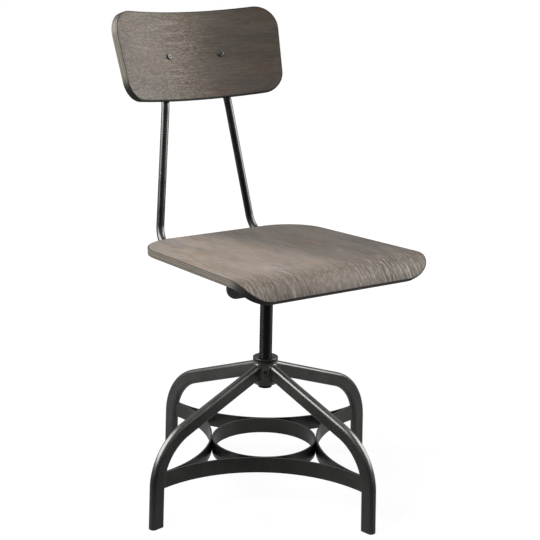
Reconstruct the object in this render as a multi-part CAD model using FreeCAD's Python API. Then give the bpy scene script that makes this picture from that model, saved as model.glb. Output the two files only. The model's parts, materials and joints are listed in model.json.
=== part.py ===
import FreeCAD, Part
import math
import os

# Swivel chair: a curved plywood seat and back on a screw post, over a four-legged tube base.
# Millimetres. The origin is on the floor, on the screw's axis. +Z is up and the sitter faces -Y.

V = FreeCAD.Vector
os.makedirs("parts", exist_ok=True)

# Fits
running_gap = 0.08
turning_gap = 0.2
joint_gap = 0.1
bolt_gap = 0.2
screw_gap = 0.1

# Longer than the chair, for cutting tools that run out past it, and a short run-out
beyond = 1000.0
run_out = 5.0

# Base: four bent tube legs welded to a hub, turned on the floor against the seat
base_turn = -34.0
leg_depth = 28.7
leg_width = 16.3
leg_corner = 6.5
leg_wall = 1.8
leg_axis_drop = 12.3
leg_slope = 20.45
leg_bend_radius = 106.0
leg_foot_radius = 276.2
leg_flare = 1.74

glide_thickness = 3.0
glide_plug_length = 14.0

# Foot ring and the four arched straps that tie it to the legs
bar_height = 30.0
bar_thickness = 3.0
bar_top_height = 104.3
ring_mean_radius = 100.0

# Hub, threaded cap nut, lower bush and set screw
hub_radius = 23.0
hub_bore_radius = 16.5
hub_bottom_height = 217.5
hub_length = 46.5
hub_chamfer = 1.0
cap_radius = 24.3
cap_thickness = 6.8
cap_edge_radius = 1.2
cap_spigot_length = 28.0
bush_length = 13.0
set_screw_drop = 18.3
set_screw_radius = 3.0
set_screw_recess = 1.6
set_screw_key = 3.0
set_key_depth = 2.0

# Screw post and its end stop
post_radius = 12.5
thread_pitch = 3.0
thread_depth = 1.0
post_reach = 4.5
post_end_gap = 3.8
thread_runout = 6.0
post_chamfer = 1.5
stop_washer_radius = 13.2
stop_washer_thickness = 3.0
stop_screw_radius = 4.0
stop_screw_length = 22.0
stop_screw_key = 5.0
stop_key_depth = 2.5
stop_hole_spare = 2.0

# Seat: flat plywood, raked back, with a rolled front edge
seat_height = 488.0
seat_rake = 2.81
ply_thickness = 14.0
seat_back_y = 178.5
seat_roll_y = -195.7
seat_roll_radius = 49.4
seat_roll_angle = 72.0
seat_roll_tail = 5.6
seat_back_half_width = 192.5
seat_roll_half_width = 202.8
seat_back_corner = 83.0
seat_front_corner = 56.0
seat_corner_cut_angle = 64.0

# Frame under the seat
spindle_plate_thickness = 5.0
spindle_plate_half_width = 118.0
spindle_plate_back_y = 75.0
boss_radius = 23.0
boss_length = 24.8
cross_plate_y = -58.0
cross_plate_thickness = 5.0
cross_plate_half_length = 125.0
cross_plate_drop = 61.5
cross_plate_corner = 22.0
cross_plate_edge = 2.0
seat_screw_ys = (-25.0, 130.0)
seat_screw_radius = 2.4
seat_screw_head_radius = 5.0
seat_screw_head_height = 3.0
seat_screw_bite = 9.0

# Back tubes
tube_radius = 8.0
tube_wall = 1.5
tube_bend_x = 110.0
tube_bend_y = 219.2
tube_bend_radius = 45.0
tube_lean = 8.84
tube_crank_x = 72.0
tube_crank_radius = 110.0
tube_overrun = 36.0
plug_length = 12.0
plug_head = 1.5

# Back panel: curved plywood, hollow towards the sitter
panel_y = 273.6
panel_height = 818.6
panel_lean = 20.5
panel_curve_radius = 423.0
panel_tall = 175.8
panel_top_half_arc = 193.0
panel_bottom_half_arc = 178.8
panel_top_corner = 47.0
panel_bottom_corner = 40.0
bolt_half_arc = 59.4
bolt_rise = -1.3
bolt_radius = 3.0
bolt_head_radius = 5.75
bolt_head_height = 3.0
bolt_head_round = 0.6
bolt_key = 4.0
bolt_key_depth = 1.8
spacer_radius = 8.0
spacer_thickness = 3.0
nut_across_flats = 10.0
nut_height = 5.5
nut_dome_radius = 4.7

# Heights and directions that several pieces share
hub_top_height = hub_bottom_height + hub_length
leg_axis_height = hub_top_height - leg_axis_drop
set_screw_height = hub_top_height - set_screw_drop
post_end_height = hub_bottom_height - post_reach
bar_bottom_height = bar_top_height - bar_height
rake = math.radians(seat_rake)
ahead = V(0, -math.cos(rake), math.sin(rake))
above = V(0, math.sin(rake), math.cos(rake))
underside_height = seat_height - ply_thickness / math.cos(rake)
tube_drop = tube_radius + joint_gap
plate_drop = 2 * tube_radius + 2 * joint_gap
plate_under_drop = plate_drop + spindle_plate_thickness
plate_under_height = underside_height - plate_under_drop / math.cos(rake)
boss_bottom_height = plate_under_height - boss_length
post_top_height = plate_under_height - post_end_gap
thread_top_height = boss_bottom_height - thread_runout


def save(name, shape):
    """Write one piece, or a group of like pieces, as its own file."""
    shape.exportStep("parts/" + name + ".step")


def cylinder(radius, low, high, x=0.0, y=0.0):
    """An upright cylinder between two heights."""
    return Part.makeCylinder(radius, high - low, V(x, y, low), V(0, 0, 1))


def rod(radius, start, direction, length):
    """A cylinder from a point, along any direction."""
    return Part.makeCylinder(radius, length, start, direction)


def turned(points, centre=V(0, 0, 0)):
    """A solid of revolution about the screw's axis, from (radius, height) points."""
    corners = [V(radius, 0, height) for radius, height in points]
    face = Part.Face(Part.makePolygon(corners + corners[:1]))
    return face.revolve(centre, V(0, 0, 1), 360)


def hexagon(across_flats, start, direction, length):
    """A hexagonal prism from a point, along any direction."""
    radius = across_flats / math.sqrt(3)
    corners = [
        V(radius * math.cos(math.radians(60 * i)), radius * math.sin(math.radians(60 * i)), 0)
        for i in range(7)
    ]
    prism = Part.Face(Part.makePolygon(corners)).extrude(V(0, 0, length))
    prism.Placement = FreeCAD.Placement(start, FreeCAD.Rotation(V(0, 0, 1), direction))
    return prism


def mirrored(shape):
    """The same piece on the other side of the chair."""
    return shape.mirror(V(0, 0, 0), V(1, 0, 0))


def slot_wire(depth, width, corner, inset, start, along, across):
    """A rounded rectangle wire in the plane of along and across, pulled in by inset."""
    half_a = depth / 2 - inset
    half_b = width / 2 - inset
    radius = corner - inset
    bend = radius * (1 - math.sqrt(0.5))

    def point(a, b):
        return start + along * a + across * b

    edges = []
    for a, b in ((1, 1), (-1, 1), (-1, -1), (1, -1)):
        first = point(a * half_a, b * (half_b - radius))
        middle = point(a * (half_a - bend), b * (half_b - bend))
        last = point(a * (half_a - radius), b * half_b)
        if a * b < 0:
            first, last = last, first
        edges.append(Part.Arc(first, middle, last).toShape())
    joined = []
    for i, edge in enumerate(edges):
        following = edges[(i + 1) % 4]
        joined.append(edge)
        joined.append(Part.makeLine(edge.Vertexes[-1].Point, following.Vertexes[0].Point))
    return Part.Wire(joined)


def rounded_path(points, radii):
    """A wire of straight runs, with a tangent arc at each inner point."""
    edges = []
    start = points[0]
    for i, radius in enumerate(radii, start=1):
        arriving = (points[i] - points[i - 1]).normalize()
        leaving = (points[i + 1] - points[i]).normalize()
        turn = arriving.getAngle(leaving)
        reach = radius * math.tan(turn / 2)
        first = points[i] - arriving * reach
        last = points[i] + leaving * reach
        inward = (leaving - arriving).normalize()
        centre = points[i] + inward * (radius / math.cos(turn / 2))
        edges.append(Part.makeLine(start, first))
        edges.append(Part.Arc(first, centre - inward * radius, last).toShape())
        start = last
    edges.append(Part.makeLine(start, points[-1]))
    return Part.Wire(edges)


def swept(path, profile):
    """A solid pipe of one profile along a path."""
    return path.makePipeShell([profile], True, False)


def round_profile(path, radius):
    """A circle at the start of a path, square to it."""
    first = path.Edges[0]
    start = first.Vertexes[0].Point
    return Part.Wire(Part.makeCircle(radius, start, first.tangentAt(first.FirstParameter)))


# Base


def at_base(shape):
    """Turn a piece of the base to where it stands against the seat."""
    placed = shape.copy()
    placed.rotate(V(0, 0, 0), V(0, 0, 1), base_turn)
    return placed


def leg_path():
    """Centre line of the leg towards +X: out of the hub, over the bend and down to the floor."""
    slope = math.tan(math.radians(leg_slope))
    flare = math.tan(math.radians(leg_flare))
    bend_x = (leg_foot_radius - flare * leg_axis_height) / (1 - flare * slope)
    bend_z = leg_axis_height - slope * bend_x
    inner_x = hub_radius / 2
    points = [
        V(inner_x, 0, leg_axis_height - slope * inner_x),
        V(bend_x, 0, bend_z),
        V(leg_foot_radius + flare * run_out, 0, -run_out),
    ]
    return rounded_path(points, [leg_bend_radius])


def leg_pipe(inset):
    """The leg's outline swept along its centre line, as a solid."""
    path = leg_path()
    first = path.Edges[0]
    start = first.Vertexes[0].Point
    direction = first.tangentAt(first.FirstParameter)
    across = V(0, 1, 0)
    up = direction.cross(across) * -1
    profile = slot_wire(leg_depth, leg_width, leg_corner, inset, start, up, across)
    return swept(path, profile)


leg_envelope = leg_pipe(0.0)
floor_cut = Part.makeBox(
    beyond, beyond, beyond, V(-beyond / 2, -beyond / 2, glide_thickness - beyond)
)
hub_solid = cylinder(hub_radius, 0, beyond)
leg = leg_envelope.cut(leg_pipe(leg_wall)).cut(floor_cut).cut(hub_solid)


def foot_prism(inset, low, high):
    """The leg's outline near the floor, between two heights and along the leg's flare."""
    flare = math.tan(math.radians(leg_flare))
    centre = V(leg_foot_radius - flare * low, 0, low)
    wire = slot_wire(leg_depth, leg_width, leg_corner, inset, centre, V(1, 0, 0), V(0, 1, 0))
    return Part.Face(wire).extrude(V(-flare * (high - low), 0, high - low))


glide = foot_prism(0.0, 0.0, glide_thickness).fuse(
    foot_prism(leg_wall + joint_gap, glide_thickness / 2, glide_thickness + glide_plug_length)
).removeSplitter()

leg_angles = {"leg_front_left": 225, "leg_front_right": 315, "leg_rear_right": 45, "leg_rear_left": 135}
placed_envelopes = []
for name, angle in leg_angles.items():
    for node, shape in ((name, leg), (name.replace("leg", "glide"), glide)):
        placed = shape.copy()
        placed.rotate(V(0, 0, 0), V(0, 0, 1), angle)
        save(node, at_base(placed))
    envelope = leg_envelope.copy()
    envelope.rotate(V(0, 0, 0), V(0, 0, 1), angle)
    placed_envelopes.append(envelope)

ring_outer = ring_mean_radius + bar_thickness / 2
ring_inner = ring_mean_radius - bar_thickness / 2
ring = cylinder(ring_outer, bar_bottom_height, bar_top_height).cut(
    cylinder(ring_inner, bar_bottom_height - run_out, bar_top_height + run_out)
)
save("foot_ring", at_base(ring))


def strap():
    """The strap towards +X: its hollow side faces out and its middle touches the ring."""
    touch = ring_outer + joint_gap
    mid_height = (bar_top_height + bar_bottom_height) / 2
    leg_inner = leg_foot_radius - math.tan(math.radians(leg_flare)) * mid_height - leg_depth / 2
    reach = leg_inner / math.sqrt(2)
    radius = (touch - joint_gap * math.sqrt(2)) / (math.sqrt(2) - 1)
    centre_x = touch + radius
    end = math.degrees(math.asin(reach / radius))
    into_leg = math.degrees(leg_depth / 3 / radius)
    band = Part.makeCylinder(
        radius, bar_height, V(centre_x, 0, bar_bottom_height), V(0, 0, 1), 2 * (end + into_leg)
    )
    hollow = cylinder(
        radius - bar_thickness, bar_bottom_height - run_out, bar_top_height + run_out, centre_x
    )
    band.rotate(V(centre_x, 0, 0), V(0, 0, 1), 180 - end - into_leg)
    return band.cut(hollow)


strap_angles = {"strap_front": 270, "strap_right": 0, "strap_rear": 90, "strap_left": 180}
plain_strap = strap()
for name, angle in strap_angles.items():
    placed = plain_strap.copy()
    placed.rotate(V(0, 0, 0), V(0, 0, 1), angle)
    for envelope in placed_envelopes:
        placed = placed.cut(envelope)
    save(name, at_base(placed))

# Hub and what it holds

screw_facing = V(0, -1, 0)
hub = turned([
    (hub_bore_radius, hub_bottom_height),
    (hub_radius - hub_chamfer, hub_bottom_height),
    (hub_radius, hub_bottom_height + hub_chamfer),
    (hub_radius, hub_top_height),
    (hub_bore_radius, hub_top_height),
])
set_screw_hole = rod(set_screw_radius, V(0, 0, set_screw_height), screw_facing, hub_radius + run_out)
save("hub", at_base(hub.cut(set_screw_hole)))

spigot_radius = hub_bore_radius - joint_gap
thread_bore = post_radius + running_gap
cap_top_height = hub_top_height + cap_thickness
cap = cylinder(cap_radius, hub_top_height, cap_top_height)
rim = [
    edge for edge in cap.Edges
    if isinstance(edge.Curve, Part.Circle) and abs(edge.Curve.Center.z - cap_top_height) < 0.001
]
cap = cap.makeFillet(cap_edge_radius, rim)
cap = cap.fuse(cylinder(spigot_radius, hub_top_height - cap_spigot_length, hub_top_height))
cap = cap.cut(cylinder(thread_bore, 0, beyond)).removeSplitter()
save("cap_nut", at_base(cap))

bush = cylinder(spigot_radius, hub_bottom_height, hub_bottom_height + bush_length)
save("lower_bush", at_base(bush.cut(cylinder(thread_bore, 0, beyond))))

set_screw_outer = hub_radius - set_screw_recess
set_screw = rod(
    set_screw_radius - screw_gap,
    V(0, -spigot_radius - joint_gap, set_screw_height),
    screw_facing,
    set_screw_outer - spigot_radius - joint_gap,
)
set_key = hexagon(
    set_screw_key,
    V(0, -set_screw_outer - run_out, set_screw_height),
    screw_facing * -1,
    run_out + set_key_depth,
)
save("hub_set_screw", at_base(set_screw.cut(set_key)))

# Screw post, with its end stop

turns = int((thread_top_height - post_end_height - post_chamfer) / thread_pitch)
root_radius = post_radius - thread_depth
post_outline = [(0, post_end_height), (root_radius, post_end_height)]
for turn in range(turns):
    foot = post_end_height + post_chamfer + turn * thread_pitch
    post_outline += [
        (root_radius, foot),
        (post_radius, foot + thread_pitch * 0.4),
        (post_radius, foot + thread_pitch * 0.6),
    ]
post_outline += [
    (root_radius, post_end_height + post_chamfer + turns * thread_pitch),
    (post_radius, post_end_height + post_chamfer + turns * thread_pitch + thread_depth),
    (post_radius, post_top_height),
    (0, post_top_height),
]
stop_hole = cylinder(stop_screw_radius + screw_gap, 0, post_end_height + stop_screw_length)
save("screw_post", turned(post_outline).cut(stop_hole))

washer_top = post_end_height - turning_gap
washer_bottom = washer_top - stop_washer_thickness
head_bottom = washer_bottom + turning_gap
head_radius = stop_screw_radius + (post_end_height - head_bottom)
washer_hole_top = stop_screw_radius + turning_gap + joint_gap + turning_gap
washer_hole_bottom = washer_hole_top + stop_washer_thickness
save("stop_washer", turned([
    (washer_hole_bottom, washer_bottom),
    (stop_washer_radius, washer_bottom),
    (stop_washer_radius, washer_top),
    (washer_hole_top, washer_top),
]))
stop_screw = turned([
    (0, head_bottom),
    (head_radius, head_bottom),
    (stop_screw_radius, post_end_height),
    (stop_screw_radius, post_end_height + stop_screw_length - stop_hole_spare),
    (0, post_end_height + stop_screw_length - stop_hole_spare),
])
stop_key = hexagon(
    stop_screw_key, V(0, 0, head_bottom - run_out), V(0, 0, 1), run_out + stop_key_depth
)
save("stop_screw", stop_screw.cut(stop_key))

# Seat panel


def roll_normal(degrees):
    """The seat's outward direction, this far round its rolled front edge."""
    angle = math.radians(degrees)
    return above * math.cos(angle) + ahead * math.sin(angle)


def roll_tangent(degrees):
    """The seat's forward direction, this far round its rolled front edge."""
    angle = math.radians(degrees)
    return ahead * math.cos(angle) - above * math.sin(angle)


def on_seat(y):
    """The point of the seat's flat top, on the middle line."""
    return V(0, y, seat_height - math.tan(rake) * y)


def seat_blank():
    """The bent ply sheet, before its outline is cut."""
    roll_start = on_seat(seat_roll_y)
    centre = roll_start - above * seat_roll_radius
    inner = seat_roll_radius - ply_thickness
    tail = roll_tangent(seat_roll_angle) * seat_roll_tail
    ends = []
    for radius in (seat_roll_radius, inner):
        ends.append([
            centre + roll_normal(angle) * radius
            for angle in (0, seat_roll_angle / 2, seat_roll_angle)
        ])
    top, bottom = ends
    back_top = on_seat(seat_back_y)
    back_bottom = back_top - above * ply_thickness
    edges = [
        Part.makeLine(back_top, top[0]),
        Part.Arc(*top).toShape(),
        Part.makeLine(top[2], top[2] + tail),
        Part.makeLine(top[2] + tail, bottom[2] + tail),
        Part.makeLine(bottom[2] + tail, bottom[2]),
        Part.Arc(*reversed(bottom)).toShape(),
        Part.makeLine(bottom[0], back_bottom),
        Part.makeLine(back_bottom, back_top),
    ]
    half = 2 * seat_roll_half_width
    face = Part.Face(Part.Wire(edges))
    face.translate(V(-half, 0, 0))
    return face.extrude(V(2 * half, 0, 0))


def seat_side_x(y):
    """Half the seat's width, which grows evenly towards the front."""
    share = (seat_back_y - y) / (seat_back_y - seat_roll_y)
    return seat_back_half_width + (seat_roll_half_width - seat_back_half_width) * share


def seat_plan():
    """An upright prism with the seat's tapered sides and round back corners."""
    front_y = seat_roll_y - 2 * seat_roll_radius
    corners = [
        V(-seat_side_x(seat_back_y), seat_back_y, 0),
        V(seat_side_x(seat_back_y), seat_back_y, 0),
        V(seat_side_x(front_y), front_y, 0),
        V(-seat_side_x(front_y), front_y, 0),
    ]
    prism = Part.Face(Part.makePolygon(corners + corners[:1])).extrude(V(0, 0, 2 * seat_height))
    back_edges = [
        edge for edge in prism.Edges
        if all(abs(v.Point.y - seat_back_y) < 0.001 for v in edge.Vertexes)
        and abs(edge.Vertexes[0].Point.x - edge.Vertexes[1].Point.x) < 0.001
    ]
    return prism.makeFillet(seat_back_corner, back_edges)


def seat_front_stencil():
    """A prism square to the rolled edge, whose round corners trim the front of the seat."""
    along = roll_tangent(seat_corner_cut_angle)
    outward = roll_normal(seat_corner_cut_angle)
    centre = on_seat(seat_roll_y) - above * seat_roll_radius
    last = centre + roll_normal(seat_roll_angle) * seat_roll_radius
    last = last + roll_tangent(seat_roll_angle) * seat_roll_tail
    front = (last - centre).dot(along)
    half = seat_side_x(last.y)
    depth = 2 * seat_roll_radius
    prism = Part.makeBox(2 * half, beyond, 2 * beyond)
    prism.translate(V(-half, 0, -beyond))
    upright = [
        edge for edge in prism.Edges
        if all(abs(v.Point.y) < 0.001 for v in edge.Vertexes)
        and abs(edge.Vertexes[0].Point.x - edge.Vertexes[1].Point.x) < 0.001
    ]
    prism = prism.makeFillet(seat_front_corner, upright)
    widened = Part.makeBox(
        2 * half + depth, beyond, 2 * beyond, V(-half - depth / 2, seat_front_corner, -beyond)
    )
    prism = prism.fuse(widened)
    tilt = FreeCAD.Rotation(V(1, 0, 0), V(0, -along.y, -along.z), outward, "ZXY")
    prism.Placement = FreeCAD.Placement(centre + along * front, tilt)
    return prism


rake_frame = FreeCAD.Placement(V(0, 0, underside_height), FreeCAD.Rotation(V(1, 0, 0), -seat_rake))


def under_seat(x, y, drop):
    """A point this far below the seat's underside, in the seat's own raked directions."""
    return rake_frame.multVec(V(x, y, -drop))


seat_screw_places = [(side * tube_bend_x, y) for side in (-1, 1) for y in seat_screw_ys]


def screw_way(radius, x, y, low_drop, high_drop):
    """A cylinder square to the seat, between two drops below its underside."""
    return rod(radius, under_seat(x, y, low_drop), above, low_drop - high_drop)


seat_panel = seat_blank().common(seat_plan()).common(seat_front_stencil())
for x, y in seat_screw_places:
    pilot = screw_way(seat_screw_radius + screw_gap, x, y, run_out, -seat_screw_bite - screw_gap)
    seat_panel = seat_panel.cut(pilot)
save("seat_panel", seat_panel)

# Frame under the seat

cross_back_y = cross_plate_y + cross_plate_thickness
cross_top = underside_height - math.tan(rake) * cross_back_y - joint_gap
cross_bottom = cross_top - cross_plate_drop
cross_plate = Part.makeBox(
    2 * cross_plate_half_length,
    cross_plate_thickness,
    cross_plate_drop,
    V(-cross_plate_half_length, cross_plate_y, cross_bottom),
)
lower_corners = [
    edge for edge in cross_plate.Edges
    if all(abs(v.Point.z - cross_bottom) < 0.001 for v in edge.Vertexes)
    and abs(edge.Vertexes[0].Point.x - edge.Vertexes[1].Point.x) < 0.001
]
cross_plate = cross_plate.makeFillet(cross_plate_corner, lower_corners)
front_rim = [
    edge for edge in cross_plate.Edges
    if all(abs(v.Point.y - cross_plate_y) < 0.001 for v in edge.Vertexes)
    and edge.BoundBox.ZMin < cross_top - 0.001
]
save("cross_plate", cross_plate.makeFillet(cross_plate_edge, front_rim))

cross_back_reach = (cross_back_y + joint_gap) / math.cos(rake)
plate_front_y = cross_back_reach + spindle_plate_thickness * math.tan(rake) + plate_drop * math.tan(rake)
spindle_plate = Part.makeBox(
    2 * spindle_plate_half_width,
    spindle_plate_back_y - plate_front_y,
    spindle_plate_thickness,
    V(-spindle_plate_half_width, plate_front_y, -plate_drop - spindle_plate_thickness),
)
spindle_plate.Placement = rake_frame
for x, y in seat_screw_places:
    if y < spindle_plate_back_y:
        way = screw_way(
            seat_screw_radius + bolt_gap, x, y, plate_under_drop + run_out, plate_drop - run_out
        )
        spindle_plate = spindle_plate.cut(way)
save("spindle_plate", spindle_plate)

above_plate = Part.makeBox(beyond, beyond, beyond, V(-beyond / 2, -beyond / 2, -plate_under_drop))
above_plate.Placement = rake_frame
boss = cylinder(boss_radius, boss_bottom_height, seat_height).cut(above_plate)
save("spindle_boss", boss.cut(cylinder(post_radius + joint_gap, 0, post_top_height + joint_gap)))

# Back panel and tubes

lean_frame = FreeCAD.Placement(
    V(0, panel_y, panel_height), FreeCAD.Rotation(V(1, 0, 0), -panel_lean)
)


def on_arc(arc, radius, rise):
    """A point of the leaning panel, by its arc from the middle, its radius and its rise."""
    angle = arc / panel_curve_radius
    local = V(radius * math.sin(angle), radius * math.cos(angle) - panel_curve_radius, rise)
    return lean_frame.multVec(local)


def arc_normal(arc):
    """The panel's direction away from the sitter, at this arc from the middle."""
    angle = arc / panel_curve_radius
    return lean_frame.Rotation.multVec(V(math.sin(angle), math.cos(angle), 0))


def end_stencil():
    """A prism square to the panel's +X end, with its slanted end and two round corners."""
    cut_arc = (panel_top_half_arc + panel_bottom_half_arc) / 2
    half = panel_tall / 2
    top = panel_top_half_arc - cut_arc
    bottom = panel_bottom_half_arc - cut_arc
    corners = [V(-beyond, -half, 0), V(bottom, -half, 0), V(top, half, 0), V(-beyond, half, 0)]
    prism = Part.Face(Part.makePolygon(corners + corners[:1])).extrude(V(0, 0, beyond))
    for radius, x, y in ((panel_top_corner, top, half), (panel_bottom_corner, bottom, -half)):
        upright = [
            edge for edge in prism.Edges
            if all(abs(v.Point.x - x) + abs(v.Point.y - y) < 0.001 for v in edge.Vertexes)
        ]
        prism = prism.makeFillet(radius, upright)
    prism.translate(V(0, 0, -beyond / 2))
    angle = cut_arc / panel_curve_radius
    tangent = V(math.cos(angle), -math.sin(angle), 0)
    place = V(math.sin(angle), math.cos(angle), 0) * panel_curve_radius - V(0, panel_curve_radius, 0)
    turn = FreeCAD.Rotation(tangent, V(0, 0, 1), tangent.cross(V(0, 0, 1)), "XYZ")
    prism.Placement = FreeCAD.Placement(place, turn).multiply(prism.Placement)
    return prism


def panel_blank():
    """The curved ply sheet, before its ends are cut, in its own upright frame."""
    half = panel_tall / 2
    outer = panel_curve_radius + ply_thickness
    centre = V(0, -panel_curve_radius, -half)
    spread = 3 * math.degrees(panel_top_half_arc / panel_curve_radius)
    sector = Part.makeCylinder(outer, panel_tall, centre, V(0, 0, 1), spread)
    sector.rotate(centre, V(0, 0, 1), 90 - spread / 2)
    return sector.cut(Part.makeCylinder(panel_curve_radius, panel_tall, centre, V(0, 0, 1)))


right_end = end_stencil()
back_panel = panel_blank().common(right_end).common(mirrored(right_end))
back_panel.Placement = lean_frame.multiply(back_panel.Placement)
bolt_sides = (-1, 1)
for side in bolt_sides:
    arc = side * bolt_half_arc
    start = on_arc(arc, panel_curve_radius - run_out, bolt_rise)
    back_panel = back_panel.cut(
        rod(bolt_radius + bolt_gap, start, arc_normal(arc), ply_thickness + 2 * run_out)
    )
save("back_panel", back_panel)

back_face_radius = panel_curve_radius + ply_thickness
spacer_back_radius = back_face_radius + 2 * joint_gap + spacer_thickness
tube_centre_radius = spacer_back_radius + tube_radius
tube_back_radius = tube_centre_radius + tube_radius


def tube_path():
    """Centre line of the +X back tube: back under the seat, up, and along the panel."""
    lean = math.tan(math.radians(tube_lean))
    panel_slope = math.tan(math.radians(panel_lean))
    front = under_seat(tube_bend_x, cross_back_reach + tube_drop * math.tan(rake), tube_drop)
    low = under_seat(tube_bend_x, tube_bend_y / math.cos(rake), tube_drop)
    bolt = on_arc(bolt_half_arc, tube_centre_radius, bolt_rise)
    crank_z = (bolt.y - low.y + lean * low.z - panel_slope * bolt.z) / (lean - panel_slope)
    crank = V(tube_crank_x, low.y + lean * (crank_z - low.z), crank_z)
    top = bolt + (bolt - crank).normalize() * tube_overrun
    return rounded_path([front, low, crank, top], [tube_bend_radius, tube_crank_radius])


path = tube_path()
tube_top = path.Edges[-1].Vertexes[-1].Point
tube_top_direction = path.Edges[-1].tangentAt(path.Edges[-1].LastParameter)
outer_pipe = swept(path, round_profile(path, tube_radius))
inner_pipe = swept(path, round_profile(path, tube_radius - tube_wall))
back_tube = outer_pipe.cut(inner_pipe)
before_cross = Part.makeBox(
    beyond, beyond, beyond, V(-beyond / 2, cross_back_y + joint_gap - beyond, 0)
)
back_tube = back_tube.cut(before_cross)
for y in seat_screw_ys:
    back_tube = back_tube.cut(
        screw_way(seat_screw_radius + bolt_gap, tube_bend_x, y, plate_drop + run_out, -run_out)
    )
back_tube = back_tube.cut(
    rod(
        bolt_radius + bolt_gap,
        on_arc(bolt_half_arc, back_face_radius, bolt_rise),
        arc_normal(bolt_half_arc),
        spacer_thickness + 3 * tube_radius,
    )
)
save("back_tube_right", back_tube)
save("back_tube_left", mirrored(back_tube))

plug = rod(tube_radius - tube_wall - joint_gap, tube_top, tube_top_direction * -1, plug_length)
plug = plug.fuse(rod(tube_radius, tube_top, tube_top_direction, plug_head)).removeSplitter()
save("tube_plug_right", plug)
save("tube_plug_left", mirrored(plug))

# Fasteners


def seat_screw(x, y):
    """A pan-head screw up through the tube, and the plate where there is one, into the seat."""
    seat_drop = plate_drop
    if y < spindle_plate_back_y:
        seat_drop = plate_under_drop
    head = screw_way(
        seat_screw_head_radius, x, y, seat_drop + joint_gap + seat_screw_head_height, seat_drop + joint_gap
    )
    shank = screw_way(seat_screw_radius, x, y, seat_drop + seat_screw_head_height, -seat_screw_bite)
    return head.fuse(shank).removeSplitter()


save("seat_screws", Part.makeCompound([seat_screw(x, y) for x, y in seat_screw_places]))


def back_bolt(arc):
    """A socket bolt with a low round head, from the sitter's side of the panel."""
    normal = arc_normal(arc)
    face = on_arc(arc, panel_curve_radius, bolt_rise)
    top = face - normal * (bolt_head_height + joint_gap)
    head = rod(bolt_head_radius, top, normal, bolt_head_height)
    rim_edges = [
        edge for edge in head.Edges
        if isinstance(edge.Curve, Part.Circle) and edge.Curve.Center.distanceToPoint(top) < 0.001
    ]
    head = head.makeFillet(bolt_head_height * bolt_head_round, rim_edges)
    key = hexagon(bolt_key, top - normal * run_out, normal, run_out + bolt_key_depth)
    under_key = top + normal * bolt_key_depth
    shank_length = tube_back_radius + nut_height - panel_curve_radius
    shank = rod(bolt_radius, under_key, normal, shank_length + (face - under_key).Length)
    return head.cut(key).fuse(shank).removeSplitter()


def dome_nut(arc):
    """A closed hexagon nut behind the tube."""
    normal = arc_normal(arc)
    seat = on_arc(arc, tube_back_radius + joint_gap, bolt_rise)
    body = hexagon(nut_across_flats, seat, normal, nut_height)
    dome = Part.makeSphere(nut_dome_radius, seat + normal * nut_height)
    dome = dome.common(rod(nut_across_flats, seat, normal, 3 * nut_height))
    hole = rod(bolt_radius + screw_gap, seat - normal * run_out, normal, run_out + nut_height)
    return body.fuse(dome).cut(hole).removeSplitter()


def spacer(arc):
    """A washer that keeps the panel off the tube."""
    normal = arc_normal(arc)
    start = on_arc(arc, back_face_radius + joint_gap, bolt_rise)
    hole = rod(bolt_radius + bolt_gap, start - normal * run_out, normal, spacer_thickness + 2 * run_out)
    return rod(spacer_radius, start, normal, spacer_thickness).cut(hole)


bolt_arcs = [side * bolt_half_arc for side in bolt_sides]
save("back_bolts", Part.makeCompound([back_bolt(arc) for arc in bolt_arcs]))
save("back_nuts", Part.makeCompound([dome_nut(arc) for arc in bolt_arcs]))
save("back_spacers", Part.makeCompound([spacer(arc) for arc in bolt_arcs]))
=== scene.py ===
import json
import math

import bpy
from mathutils import Matrix, Vector, geometry, noise


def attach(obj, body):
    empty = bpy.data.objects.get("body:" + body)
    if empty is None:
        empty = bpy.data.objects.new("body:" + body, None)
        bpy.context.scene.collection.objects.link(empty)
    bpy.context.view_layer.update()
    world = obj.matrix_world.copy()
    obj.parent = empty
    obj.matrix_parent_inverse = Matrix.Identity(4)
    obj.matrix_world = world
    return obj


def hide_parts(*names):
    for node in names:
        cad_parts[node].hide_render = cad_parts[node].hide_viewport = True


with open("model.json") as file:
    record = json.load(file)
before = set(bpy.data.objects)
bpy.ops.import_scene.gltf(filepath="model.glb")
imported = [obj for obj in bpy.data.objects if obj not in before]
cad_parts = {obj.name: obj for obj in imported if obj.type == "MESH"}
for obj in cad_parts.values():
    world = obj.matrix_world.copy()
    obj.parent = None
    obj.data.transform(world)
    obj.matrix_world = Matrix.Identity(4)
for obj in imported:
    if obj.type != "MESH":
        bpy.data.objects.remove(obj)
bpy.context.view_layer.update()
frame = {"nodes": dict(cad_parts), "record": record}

MM = 0.001
BASE_TURN = math.radians(-34.0)

# Node helpers

MIX_INPUTS = (0, 6, 7)  # a Mix node's factor and its two colours
MIX_RESULT = 2
USUAL_LOW, USUAL_HIGH = 0.3, 0.7  # most of a noise lies between these
WHITE = (1.0, 1.0, 1.0, 1.0)


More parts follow.
